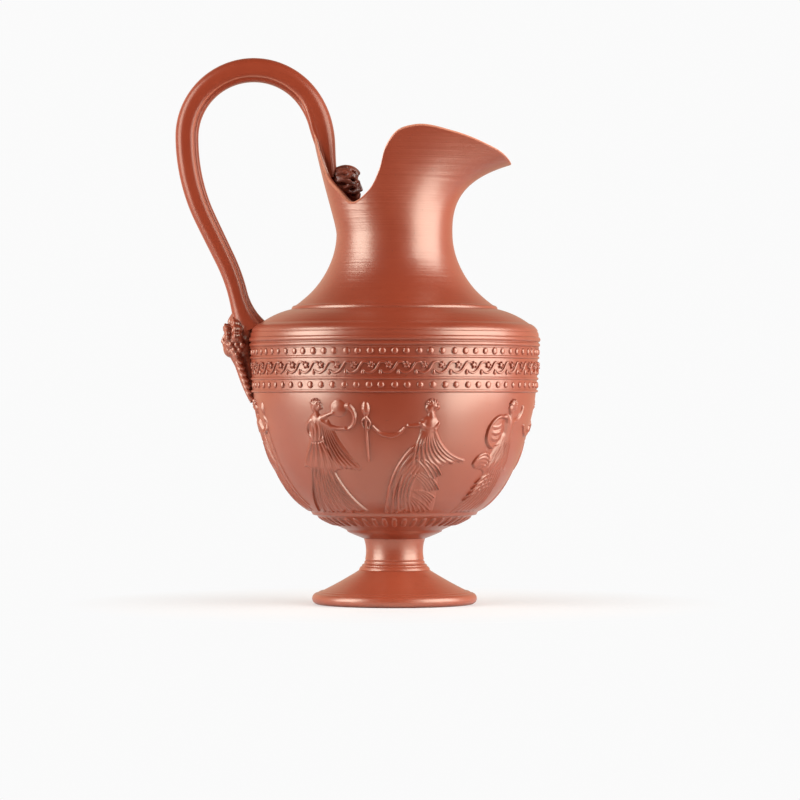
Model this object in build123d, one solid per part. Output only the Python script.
"""Oinochoe: a red-clay wine jug with a pedestal foot, a bowl with a frieze of dancers, a shoulder
with ornamental bands, a beaked neck and a high-swung handle that ends in two masks.

The pieces are those that the potter makes apart and lutes together before firing. Millimetres, +Z up,
origin on the table under the middle of the foot, +X towards the spout, so the handle is at -X.
An angle round the jug is measured from its -Y side, and grows towards the spout.
"""

import math
import os

from build123d import *

# Driving dimensions: the turned body
FOOT_R = 45.3
FOOT_REST_R = 42.6
FOOT_RIM_H = 6.2
FOOT_HOLLOW_R = 36.5
FOOT_HOLLOW_H = 22.0
COLLAR_R = 19.6
COLLAR_Z = 18.6
STEM_R = 15.7
STEM_TOP_R = 16.9
STEM_TOP_Z = 36.0
TENON_R = 9.0
TENON_H = 3.0
BASE_RING_R = 25.8
BASE_RING_Z = 40.6
BOWL_CURVE_FOOT = (27.4, 41.2)
BOWL_R = 77.6
BOWL_TOP_Z = 116.0
BOWL_FLOOR_Z = 47.0
GROUND_LINE_R = 44.5
GROUND_LINE_Z = 49.8
GROUND_LINE_ROUND = 0.8
WALL = 5.0
LAP = 3.0
WALL_FOOT_R = 78.0
SHOULDER_R = 79.3
SHOULDER_EDGE_Z = 147.0
NECK_SEAT_Z = 161.8
NECK_SEAT_R = 56.6
NECK_FOOT_Z = 163.9
NECK_LIP_R = 46.4
NECK_LIP_DROP = 4.4
NECK_BORE_R = 43.0
NECK_WAIST_R = 31.9
NECK_WAIST_Z = 203.3
NECK_WALL = 3.6

# Driving dimensions: the mouth, in the jug's plane of symmetry
SPOUT_TIP = (64.4, 240.6)
WING_PEAK = (11.0, 259.8)
NOTCH = (-23.5, 218.4)
TONGUE_TOP = (-46.4, 272.0)
WING_FLARE = 4.5

# Driving dimensions: the handle, in the same plane
ARCH_CENTRE = (-77.4, 256.7)
ARCH_R = 36.75
STRAP_DEEP = 10.4
STRAP_WIDE = 13.0
RIB_DEEP = 2.6
RIB_WIDE = 7.6
RIM_LEG_LEAN = 10.7
RIM_LEG = 30.0
SWING_R = 105.0
SWING_TURN = 24.0
LEG_RUN = 26.0
ROOT_R = 130.0
ROOT_TURN = 9.0
FLARE_RUN = 22.0
FLARE_DEEP = 17.6
FLARE_WIDE = 17.0

# Driving dimensions: the two masks, each place as X and height
BROW = (-86.0, 148.0)
BROW_R = 10.4
JAW = (-84.4, 141.0)
JAW_R = 8.6
BEARD_TIP = (-78.4, 111.0)
BEARD_TIP_R = 1.4
CROWN = (-27.0, 231.0)
CROWN_R = 9.6
CHIN = (-26.0, 223.6)
CHIN_R = 8.4

# Driving dimensions: the ornament
BEAD_R = 1.85
UPPER_BEADS = 76
UPPER_BEAD_Z = 138.2
LOWER_BEADS = 72
LOWER_BEAD_Z = 120.2
VINE_WAVES = 52
VINE_Z = 129.4
VINE_HALF_H = 3.9
VINE_RELIEF = 1.1
STEM_WIDE = 1.15
TONGUES = 46
TONGUE_Z = (43.2, 48.2)
TONGUE_BAND_R = 39.5
TONGUE_RELIEF = 0.9
FRIEZE_Z = (50.9, 115.0)
FRIEZE_RELIEF = 1.5
SLICE = 100.0
HANDLE_ANGLE = 270.0
MASK_GAP = 17.0
BEARD_GAP = 12.0

# Rounded fillets turned on the shoulder's wall: lower edge, upper edge, how far each stands out
FILLETS = [
    (116.2, 117.6, 0.8),
    (122.9, 124.5, 0.8),
    (134.4, 136.0, 0.8),
    (140.1, 140.9, 0.5),
    (141.1, 143.3, 0.9),
    (143.7, 146.5, 1.0),
]


def turned(edges):
    """Revolves a closed outline, drawn as radius and height, about the jug's axis."""
    return revolve(Plane.XZ * make_face(edges), Axis.Z)


def polyline(*points):
    """The straight edges from each point to the next."""
    return [Line(a, b) for a, b in zip(points, points[1:])]


def ring(inner_r, outer_r, low_z, high_z):
    """A plain ring about the jug's axis."""
    corners = [(inner_r, low_z), (outer_r, low_z), (outer_r, high_z), (inner_r, high_z)]
    return turned(polyline(*corners, corners[0]))


def round_the_jug(solid, count, gap=0.0):
    """Equally spaced copies of a solid about the jug's axis, with a gap, in degrees, at the handle."""
    angles = [360 / count * i for i in range(count)]
    shown = [angle for angle in angles if abs(angle - HANDLE_ANGLE) >= gap / 2]
    return Compound(children=[Rot(0, 0, angle) * solid for angle in shown])


def wall_r(z):
    """Radius of the shoulder's wall at a height, between its fillets."""
    share = (z - BOWL_TOP_Z) / (SHOULDER_EDGE_Z - BOWL_TOP_Z)
    return WALL_FOOT_R + (SHOULDER_R - WALL_FOOT_R) * share


def make_foot():
    """Hollow pedestal foot with a rolled rim, a ringed collar and a stem, tenoned into the bowl."""
    rim_top = (FOOT_REST_R - 0.2, FOOT_RIM_H)
    cone_foot = (rim_top[0] - 1.2, FOOT_RIM_H + 0.3)
    collar_low = (COLLAR_R + 0.6, COLLAR_Z - 1.6)
    collar_high = (COLLAR_R - 1.4, COLLAR_Z + 1.6)
    stem_low = (STEM_R + 0.9, COLLAR_Z + 3.6)
    stem_top = (STEM_TOP_R, STEM_TOP_Z)
    outside = [
        ThreePointArc((FOOT_REST_R, 0), (FOOT_R, FOOT_RIM_H * 0.46), rim_top),
        Line(rim_top, cone_foot),
        ThreePointArc(cone_foot, (33.0, 10.2), collar_low),
        ThreePointArc(collar_low, (COLLAR_R, COLLAR_Z), collar_high),
        ThreePointArc(collar_high, (collar_high[0] - 0.9, COLLAR_Z + 2.4), stem_low),
        ThreePointArc(stem_low, (STEM_R, COLLAR_Z + 8.0), stem_top),
    ]
    tenon = polyline(
        stem_top,
        (TENON_R, STEM_TOP_Z),
        (TENON_R, STEM_TOP_Z + TENON_H),
        (0, STEM_TOP_Z + TENON_H),
        (0, FOOT_HOLLOW_H),
    )
    hollow = [
        ThreePointArc((0, FOOT_HOLLOW_H), (15.5, 13.2), (FOOT_HOLLOW_R, 0)),
        Line((FOOT_HOLLOW_R, 0), (FOOT_REST_R, 0)),
    ]
    return turned(outside + tenon + hollow)


def bowl_curve(proud=0.0):
    """The bowl's outer curve, from its base ring to its upper edge, moved out by proud."""
    points = [BOWL_CURVE_FOOT, (42.0, 48.2), (54.4, 58.1), (65.6, 74.6), (73.0, 94.4)]
    slope_r, slope_z = 0.7 * proud, -0.7 * proud
    moved = [(r + slope_r, z + slope_z) for r, z in points]
    return Spline(*moved, (BOWL_R + proud, BOWL_TOP_Z), tangents=[(1, 0.42), (0.08, 1)])


def make_bowl():
    """Press-moulded bowl with a socket for the foot's tenon and a lap for the shoulder's lip."""
    base_foot = (STEM_TOP_R, STEM_TOP_Z)
    ring_low, ring_high = (BASE_RING_R, BASE_RING_Z - 0.9), (BASE_RING_R + 0.5, BASE_RING_Z)
    outer = bowl_curve()
    lap_r = BOWL_R - WALL / 2
    inner_top = (BOWL_R - WALL, BOWL_TOP_Z - LAP)
    inside = Spline(
        inner_top, (68.2, 94.4), (60.8, 76.2), (49.6, 61.8), (36.0, 53.0), (0, BOWL_FLOOR_Z),
        tangents=[(-0.08, -1), (-1, 0)],
    )
    body = turned(
        [
            ThreePointArc(base_foot, (20.6, 37.4), ring_low),
            *polyline(ring_low, ring_high, BOWL_CURVE_FOOT),
            outer,
            *polyline((BOWL_R, BOWL_TOP_Z), (lap_r, BOWL_TOP_Z), (lap_r, BOWL_TOP_Z - LAP), inner_top),
            inside,
            *polyline(
                (0, BOWL_FLOOR_Z),
                (0, STEM_TOP_Z + TENON_H),
                (TENON_R, STEM_TOP_Z + TENON_H),
                (TENON_R, STEM_TOP_Z),
                base_foot,
            ),
        ]
    )
    return body + Pos(0, 0, GROUND_LINE_Z) * Torus(GROUND_LINE_R, GROUND_LINE_ROUND)


def make_shoulder():
    """Thrown shoulder: a filleted wall that laps into the bowl, and a low dome with a seat for the neck."""
    outside = []
    at = (BOWL_R, BOWL_TOP_Z)
    for low, high, proud in FILLETS:
        foot, head = (wall_r(low), low), (wall_r(high), high)
        outside.append(Line(at, foot))
        outside.append(ThreePointArc(foot, (wall_r((low + high) / 2) + proud, (low + high) / 2), head))
        at = head
    edge = (SHOULDER_R, SHOULDER_EDGE_Z)
    dome_foot, dome_head = (74.0, 153.9), (NECK_SEAT_R + 0.4, NECK_SEAT_Z)
    outside += [
        Line(at, edge),
        ThreePointArc(edge, (78.0, 151.2), dome_foot),
        ThreePointArc(dome_foot, (66.2, 158.6), dome_head),
    ]
    lap_r = BOWL_R - WALL / 2
    lip_foot = (NECK_LIP_R, NECK_SEAT_Z - NECK_LIP_DROP)
    dome_inside, wall_inside = (70.8, 148.6), (SHOULDER_R - WALL, 141.0)
    inside = [
        *polyline(dome_head, (NECK_LIP_R, NECK_SEAT_Z), lip_foot),
        ThreePointArc(lip_foot, (61.4, 153.6), dome_inside),
        ThreePointArc(dome_inside, (73.6, 145.4), wall_inside),
        *polyline(
            wall_inside,
            (BOWL_R - WALL, BOWL_TOP_Z - LAP),
            (lap_r, BOWL_TOP_Z - LAP),
            (lap_r, BOWL_TOP_Z),
            (BOWL_R, BOWL_TOP_Z),
        ),
    ]
    return turned(outside + inside)


def bezier(t, *points):
    """The point at t on the cubic curve through four control points."""
    weights = [(1 - t) ** 3, 3 * t * (1 - t) ** 2, 3 * t * t * (1 - t), t**3]
    return tuple(sum(w * p[i] for w, p in zip(weights, points)) for i in range(2))


def mouth_section(t, inset):
    """An egg-shaped section of the mouth, from its waist at t = 0 to past its rim at t = 1."""
    back = bezier(t, (-NECK_WAIST_R, NECK_WAIST_Z), (-32.6, 212.0), (-42.0, 236.0), (-50.0, 284.0))
    front = bezier(t, (NECK_WAIST_R, NECK_WAIST_Z), (31.2, 224.0), (40.0, 237.5), (78.0, 244.5))
    half_wide = NECK_WAIST_R + WING_FLARE * t * t
    span = math.dist(back, front)
    back_share = 0.5 - 0.13 * t
    along = ((front[0] - back[0]) / span, (front[1] - back[1]) / span)
    middle = (back[0] + along[0] * span * back_share, back[1] + along[1] * span * back_share)
    plane = Plane(
        origin=(middle[0], 0, middle[1]),
        x_dir=(along[0], 0, along[1]),
        z_dir=(-along[1], 0, along[0]),
    )
    return egg(plane, span * back_share - inset, span * (1 - back_share) - inset, half_wide - inset)


def egg(plane, back_r, front_r, half_wide):
    """A closed outline of two half ellipses that share their width."""
    front = EllipticalCenterArc((0, 0), front_r, half_wide, -90, arc_size=180)
    back = EllipticalCenterArc((0, 0), back_r, half_wide, 90, arc_size=180)
    return plane * make_face([front, back])


def neck_horn(profile, inset, end):
    """The neck as a solid horn: round sections by radius and height, then the mouth's sections up to end."""
    rounds = [egg(Plane((0, 0, z)), r, r, r) for r, z in profile]
    mouth = [mouth_section(t, inset) for t in (0.0, 0.16, 0.32, 0.48, 0.64, 0.82, end)]
    return loft(rounds + mouth)


def rim_outline():
    """The side view of all that the cut rim leaves standing, extruded across the jug."""
    rim = Spline(
        TONGUE_TOP,
        (-44.3, 263.8),
        (-41.7, 251.4),
        (-39.2, 241.0),
        (-36.6, 232.4),
        (-31.0, 225.2),
        NOTCH,
        (-14.0, 224.6),
        (-8.2, 236.0),
        (-4.8, 248.0),
        (2.0, 257.0),
        WING_PEAK,
        (31.0, 256.8),
        (49.0, 250.6),
        (59.6, 245.2),
        SPOUT_TIP,
    )
    low_z, back_x, front_x = 150.0, -90.0, 90.0
    sides = polyline(
        SPOUT_TIP,
        (front_x, 232.0),
        (front_x, low_z),
        (back_x, low_z),
        (back_x, TONGUE_TOP[1]),
        TONGUE_TOP,
    )
    return extrude(Plane.XZ * make_face([rim, *sides]), amount=SLICE, both=True)


def make_neck():
    """Thrown neck on a seating ring, drawn out to a beak and cut away towards the handle."""
    outer = [(54.6, NECK_FOOT_Z), (50.6, 166.9), (43.6, 173.6), (37.0, 183.5), (33.2, 193.4)]
    bore_foot = [(NECK_BORE_R, NECK_SEAT_Z - NECK_LIP_DROP - 1), (NECK_BORE_R, NECK_FOOT_Z)]
    bore = [*bore_foot, (41.6, 167.2), (38.0, 173.6), (32.9, 183.5), (29.5, 193.4)]
    seat = ring(0, NECK_SEAT_R, NECK_SEAT_Z, NECK_FOOT_Z)
    lip = ring(0, NECK_LIP_R, NECK_SEAT_Z - NECK_LIP_DROP, NECK_SEAT_Z)
    horn = neck_horn(outer, 0.0, 1.0) & rim_outline()
    return (horn + seat + lip) - neck_horn(bore, NECK_WALL, 1.04)


def handle_path():
    """The handle's centreline, from inside the rim over the arch and down to the shoulder's edge."""
    lean = math.radians(RIM_LEG_LEAN)
    arch_start = (ARCH_CENTRE[0] + ARCH_R * math.cos(lean), ARCH_CENTRE[1] + ARCH_R * math.sin(lean))
    up = (-math.sin(lean), math.cos(lean))
    rim_leg = Line((arch_start[0] - RIM_LEG * up[0], arch_start[1] - RIM_LEG * up[1]), arch_start)
    arch = JernArc(arch_start, up, ARCH_R, 180 - RIM_LEG_LEAN)
    swing = JernArc(arch @ 1, arch % 1, SWING_R, SWING_TURN)
    leg = Line(swing @ 1, swing @ 1 + LEG_RUN * (swing % 1))
    root = JernArc(leg @ 1, leg % 1, ROOT_R, -ROOT_TURN)
    return Plane.XZ * Curve(children=[rim_leg, arch, swing, leg, root])


def make_handle(neck, shoulder):
    """Round strap with a rib along its inner side, luted inside the neck's tongue and on the shoulder."""
    path = Wire(handle_path().edges())
    start = Plane(origin=path @ 0, x_dir=(0, 1, 0), z_dir=path % 0)
    strap = Pos(0, -RIB_DEEP / 2) * Ellipse(STRAP_WIDE / 2, STRAP_DEEP / 2)
    rib = Pos(0, (STRAP_DEEP - RIB_DEEP) / 2) * RectangleRounded(RIB_WIDE, RIB_DEEP * 2, RIB_DEEP * 0.45)
    bar = sweep(start * (strap + rib), path=path)
    root = Plane(origin=path @ 1, x_dir=(0, 1, 0), z_dir=path % 1)
    leg_end = root * Ellipse(STRAP_WIDE / 2, (STRAP_DEEP + RIB_DEEP) / 2)
    flare_end = root.offset(FLARE_RUN) * Ellipse(FLARE_WIDE / 2, FLARE_DEEP / 2)
    flare = loft([leg_end, flare_end])
    return largest((bar + flare) - neck - shoulder - shoulder_inside())


def largest(shape):
    """The largest solid of a shape, without the crumbs that a cut leaves."""
    return shape.solids().sort_by(SortBy.VOLUME)[-1]


def shoulder_inside():
    """The space under the shoulder, which a luted piece doesn't reach into."""
    return ring(0, SHOULDER_R - WALL / 2, BOWL_TOP_Z, SHOULDER_EDGE_Z + 3)


def ball(place, radius):
    """A sphere in the jug's plane of symmetry."""
    return Pos(place[0], 0, place[1]) * Sphere(radius)


def make_handle_mask(neighbours):
    """Bearded mask on the shoulder's edge under the handle's root."""
    down = (BEARD_TIP[0] - JAW[0], 0, BEARD_TIP[1] - JAW[1])
    jaw = Plane(origin=(JAW[0], 0, JAW[1]), x_dir=(0, 1, 0), z_dir=down)
    tip = jaw.offset(math.dist(JAW, BEARD_TIP))
    beard = loft([jaw * Circle(JAW_R), tip * Circle(BEARD_TIP_R)])
    mask = ball(BROW, BROW_R) + ball(JAW, JAW_R) + beard
    for piece in neighbours:
        mask = mask - piece
    return largest(mask)


def make_rim_mask(neighbours):
    """Small head inside the rim, where the handle's upper end is luted to the tongue."""
    head = ball(CROWN, CROWN_R) + ball(CHIN, CHIN_R)
    for piece in neighbours:
        head = head - piece
    return largest(head)


def bead_row(count, z, shoulder, gap):
    """A row of round beads sprigged on the shoulder's wall."""
    bead = Pos(0, -wall_r(z) - 0.1, z) * Sphere(BEAD_R) - shoulder
    return round_the_jug(bead.solids().sort_by(Axis.Y)[0], count, gap)


def sprig(outline, skin):
    """What an outline, seen from the jug's -Y side, leaves of a skin that lies on the body."""
    prism = extrude(Plane.XZ * outline, amount=SLICE)
    return largest(prism & skin)


def vine_skin():
    """The layer of clay that the vine is cut from."""
    low, high = VINE_Z - VINE_HALF_H - 1, VINE_Z + VINE_HALF_H + 1
    low_r, high_r = wall_r(low), wall_r(high)
    corners = [(low_r, low), (low_r + VINE_RELIEF, low), (high_r + VINE_RELIEF, high), (high_r, high)]
    return turned(polyline(*corners, corners[0]))


def make_vine():
    """One wave of the running vine's stem, a leaf above it and a bud below it, repeated round the wall."""
    pitch = 2 * math.pi * SHOULDER_R / VINE_WAVES
    half, rise = pitch * 0.46, VINE_HALF_H * 0.62
    stem_line = Spline((-half, VINE_Z - rise), (0, VINE_Z), (half, VINE_Z + rise), tangents=[(1, 0), (1, 0)])
    u, z = -pitch * 0.22, VINE_Z + VINE_HALF_H * 0.55
    leaf_tip, leaf_foot = (u, z + 1.7), (u + 0.4, z - 1.9)
    right_side = ThreePointArc(leaf_foot, (u + 2.0, z + 0.6), leaf_tip)
    left_side = ThreePointArc(leaf_tip, (u - 1.9, z + 0.4), leaf_foot)
    leaf = make_face([right_side, left_side])
    bud = Pos(pitch * 0.3, VINE_Z - VINE_HALF_H * 0.62) * Ellipse(0.9, 1.3)
    skin = vine_skin()
    outlines = {"vine_stem": trace(stem_line, STEM_WIDE), "vine_leaves": leaf, "vine_buds": bud}
    waves = {name: sprig(outline, skin) for name, outline in outlines.items()}
    return {name: round_the_jug(wave, VINE_WAVES, MASK_GAP) for name, wave in waves.items()}


def bowl_skin(low_z, high_z, relief):
    """The layer of clay on the bowl, between two heights, that a sprig on it is cut from."""
    outer = bowl_curve(relief)
    inner = bowl_curve()
    layer = turned([outer, Line(outer @ 1, inner @ 1), inner, Line(inner @ 0, outer @ 0)])
    return layer & ring(0, SLICE, low_z, high_z)


def make_tongue_band():
    """The row of upright tongues under the frieze."""
    low, high = TONGUE_Z
    wide = 2 * math.pi * TONGUE_BAND_R / TONGUES * 0.62
    tongue = Pos(0, (low + high) / 2) * Rot(0, 0, 90) * SlotOverall(high - low, wide)
    return round_the_jug(sprig(tongue, bowl_skin(low - 1, high + 1, TONGUE_RELIEF)), TONGUES)


def gown(waist, hem_left, hem_right, sag, swing):
    """A dancer's skirt: waist point and half width, hem corners, and how far the hem and sides bow."""
    (u, z), half = waist
    left, right = (u - half, z), (u + half, z)
    hem_mid = ((hem_left[0] + hem_right[0]) / 2, (hem_left[1] + hem_right[1]) / 2 - sag)
    left_mid = ((left[0] + hem_left[0]) / 2 - swing, (left[1] + hem_left[1]) / 2)
    right_mid = ((right[0] + hem_right[0]) / 2 + swing, (right[1] + hem_right[1]) / 2)
    return make_face(
        [
            Spline(left, left_mid, hem_left),
            ThreePointArc(hem_left, hem_mid, hem_right),
            Spline(hem_right, right_mid, right),
            Line(right, left),
        ]
    )


def limb(*points, wide=3.0):
    """An arm, sash or staff of even width along a bent line, with rounded ends."""
    shape = Pos(*points[0]) * Circle(wide / 2)
    for a, b in zip(points, points[1:]):
        reach = math.dist(a, b)
        angle = math.degrees(math.atan2(b[1] - a[1], b[0] - a[0]))
        bar = Pos((a[0] + b[0]) / 2, (a[1] + b[1]) / 2) * Rot(0, 0, angle) * Rectangle(reach, wide)
        shape = shape + bar + Pos(*b) * Circle(wide / 2)
    return shape


def torso(hip, chest, head):
    """A dancer's head and body above the waist."""
    body = limb(hip, chest, wide=8.4)
    neck = limb(chest, head, wide=3.0)
    return body + neck + Pos(*head) * Ellipse(3.1, 3.8)


def tambourine_player():
    """Walks to the left, and holds a tambourine and a curved horn up on the right."""
    return (
        torso((-1.0, 89.0), (0.6, 100.0), (1.2, 109.8))
        + gown(((-0.8, 90.0), 5.0), (-15.5, 74.5), (12.0, 73.0), 1.0, 1.0)
        + gown(((-1.5, 76.0), 8.0), (-12.6, 51.4), (14.6, 51.8), 0.3, -0.6)
        + gown(((8.0, 97.0), 2.4), (12.0, 76.0), (22.6, 73.4), 1.2, 0.0)
        + limb((3.0, 101.4), (8.6, 98.0), (17.6, 97.0), wide=2.6)
        + limb((17.8, 96.6), (22.2, 100.2), (23.4, 105.0), (20.4, 109.0), wide=2.4)
        + limb((3.4, 101.6), (12.0, 105.6), wide=2.4)
        + Pos(14.8, 107.6) * Circle(4.7)
    )


def sash_dancer():
    """Steps to the left with a sash over both shoulders and a cloak that flies out behind."""
    return (
        torso((0.0, 88.0), (2.4, 99.0), (2.8, 109.4))
        + gown(((2.6, 98.0), 4.6), (-7.6, 74.0), (23.4, 78.6), 2.6, 0.6)
        + gown(((-1.6, 77.0), 7.4), (-11.0, 51.4), (9.6, 52.4), 0.4, 0.6)
        + limb((-0.6, 100.6), (-5.4, 98.2), (-9.6, 98.8), wide=2.6)
        + limb((6.0, 97.4), (12.6, 88.0), (22.6, 79.8), wide=2.8)
    )


def veil_dancer():
    """Turns under a veil that swells in a round loop on the left."""
    return (
        torso((1.0, 89.0), (0.6, 99.4), (-0.6, 109.2))
        + gown(((0.8, 92.0), 5.2), (-15.5, 73.0), (13.0, 73.0), 1.0, 1.0)
        + gown(((0.0, 75.0), 9.4), (-14.0, 51.4), (10.0, 51.4), 0.3, 0.8)
        + Pos(-10.8, 95.0) * Rot(0, 0, -10) * Ellipse(6.2, 8.6)
        + Pos(-15.4, 79.0) * Ellipse(5.6, 4.4)
        + limb((4.0, 100.2), (9.4, 103.0), (11.8, 109.4), wide=2.6)
    )


def staff_bearer():
    """Strides to the right with a pine-tipped staff in the forward hand."""
    return (
        torso((-0.6, 89.0), (-1.2, 99.4), (-1.6, 109.2))
        + gown(((-0.8, 92.0), 5.0), (-14.0, 73.0), (9.0, 74.5), 1.0, 1.0)
        + gown(((-1.0, 75.0), 8.4), (-12.0, 51.4), (9.4, 51.4), 0.3, 0.8)
        + limb((2.6, 100.4), (7.4, 94.4), (13.0, 97.0), wide=2.6)
        + pine_staff(13.0, 55.0)
        + limb((-5.0, 100.0), (-9.4, 94.6), (-13.8, 99.4), wide=2.6)
    )


def pine_staff(u, foot_z):
    """An upright staff with a pine cone on its top."""
    return limb((u, foot_z), (u, 104.0), wide=1.5) + Pos(u, 107.4) * Ellipse(2.4, 4.0)


# Who stands where round the frieze
DANCERS = [
    ("tambourine_player_front", tambourine_player, -34.0),
    ("sash_dancer_front", sash_dancer, 13.0),
    ("veil_dancer_front", veil_dancer, 56.0),
    ("staff_bearer_front", staff_bearer, 101.0),
    ("tambourine_player_back", tambourine_player, 146.0),
    ("sash_dancer_back", sash_dancer, 193.0),
    ("veil_dancer_back", veil_dancer, 236.0),
    ("staff_bearer_back", staff_bearer, 281.0),
]
GARLAND_WIDE = 1.5
GARLAND_ANGLES = [-1.0, 78.0, 179.0, 257.0]
STAFF_ANGLES = [-11.5, 168.5]


def make_dancers():
    """One sprig for each dancer, luted on the bowl."""
    skin = bowl_skin(*FRIEZE_Z, FRIEZE_RELIEF)
    return {name: Rot(0, 0, angle) * sprig(shape(), skin) for name, shape, angle in DANCERS}


def make_garlands():
    """A swag hung between every second pair of dancers."""
    line = ThreePointArc((-10.2, 98.6), (-0.4, 92.6), (6.6, 97.0))
    swag = sprig(trace(line, GARLAND_WIDE), bowl_skin(*FRIEZE_Z, FRIEZE_RELIEF))
    return Compound(children=[Rot(0, 0, angle) * swag for angle in GARLAND_ANGLES])


def make_staffs():
    """Staffs that stand alone between a tambourine player and a sash dancer."""
    staff = sprig(pine_staff(0.0, 80.0), bowl_skin(*FRIEZE_Z, FRIEZE_RELIEF))
    return Compound(children=[Rot(0, 0, angle) * staff for angle in STAFF_ANGLES])


def make_pieces():
    """Every piece of the jug by its node name."""
    foot = make_foot()
    bowl = make_bowl()
    shoulder = make_shoulder()
    neck = make_neck()
    handle = make_handle(neck, shoulder)
    body = [bowl, shoulder, neck, handle]
    return {
        "foot": foot,
        "bowl": bowl,
        "shoulder": shoulder,
        "neck": neck,
        "handle": handle,
        "handle_mask": make_handle_mask(body + [shoulder_inside()]),
        "rim_mask": make_rim_mask(body),
        "upper_bead_row": bead_row(UPPER_BEADS, UPPER_BEAD_Z, shoulder, MASK_GAP),
        "lower_bead_row": bead_row(LOWER_BEADS, LOWER_BEAD_Z, shoulder, BEARD_GAP),
        **make_vine(),
        "tongue_band": make_tongue_band(),
        **make_dancers(),
        "garland_swags": make_garlands(),
        "pine_staffs": make_staffs(),
    }


def main():
    """Builds the pieces and writes one STEP file for each."""
    os.makedirs("parts", exist_ok=True)
    for name, piece in make_pieces().items():
        export_step(piece, f"parts/{name}.step")
        print(name, len(piece.solids()), round(sum(s.volume for s in piece.solids())))


if __name__ == "__main__":
    main()
